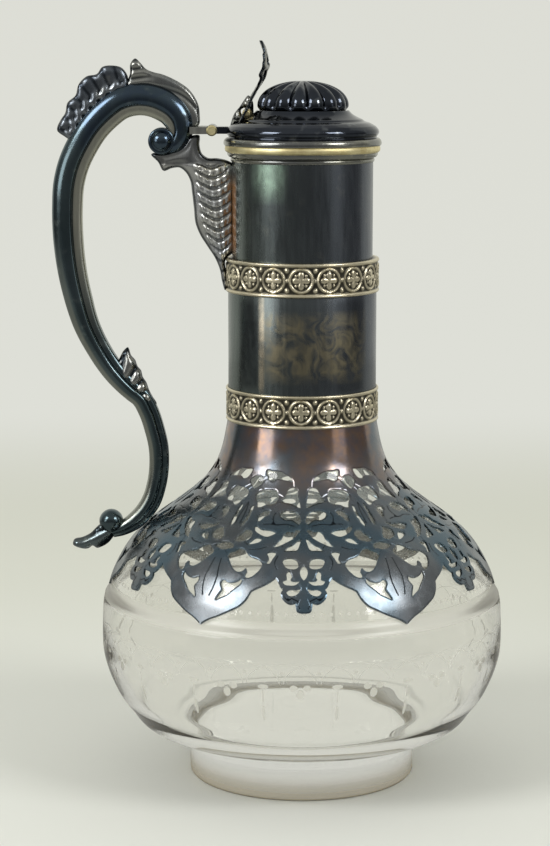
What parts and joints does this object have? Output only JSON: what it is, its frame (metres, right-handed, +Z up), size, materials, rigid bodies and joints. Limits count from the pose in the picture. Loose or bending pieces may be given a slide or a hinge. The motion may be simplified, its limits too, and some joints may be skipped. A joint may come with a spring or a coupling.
{
  "type": "claret jug",
  "caption": "Glass claret jug with a pierced metal shoulder mount, tall metal neck, scroll handle and hinged gadrooned lid with a leaf thumbpiece",
  "frame": {"origin": "middle of the foot's flat underside, on the surface that the jug stands on", "axes": "+Z up the neck, -X towards the handle and the hinge, -Y towards the pictured side, so that the handle is on the left"},
  "size_m": [0.1709, 0.1534, 0.2799],
  "materials": {
    "clear_glass": "clear blown glass, lightly engraved",
    "silver_plate": "tarnished silver plate",
    "worn_plate": "cast silver plate, worn on the high spots",
    "bared_brass": "brass where the plate has worn off",
    "plaster": "set bedding plaster"
  },
  "bodies": {
    "jug": {"glass_body": "clear_glass", "pierced_skirt": "silver_plate", "neck_sleeve": "silver_plate", "lower_band": "worn_plate", "upper_band": "worn_plate", "rim_collar": "bared_brass", "bedding_plaster": "plaster", "handle_main_scroll": "silver_plate", "handle_lower_scroll": "silver_plate", "handle_crest_leaf": "worn_plate", "handle_ridge_leaf": "worn_plate", "handle_knee_leaf": "worn_plate", "handle_tail": "silver_plate", "handle_console": "worn_plate", "hinge_arm": "silver_plate", "hinge_pin": "bared_brass"},
    "lid": {"lid_hinge_strap": "silver_plate", "lid_flange": "silver_plate", "lid_dome": "silver_plate", "lid_lining": "silver_plate", "lid_bezel": "silver_plate", "thumbpiece": "worn_plate"}
  },
  "joints": [
    {"name": "lid_hinge", "type": "hinge", "parent": "jug", "child": "lid", "pos_m": [-0.0338, 0, 0.2468], "axis": [0, -1, 0], "range_deg": [0, 70]}
  ]
}
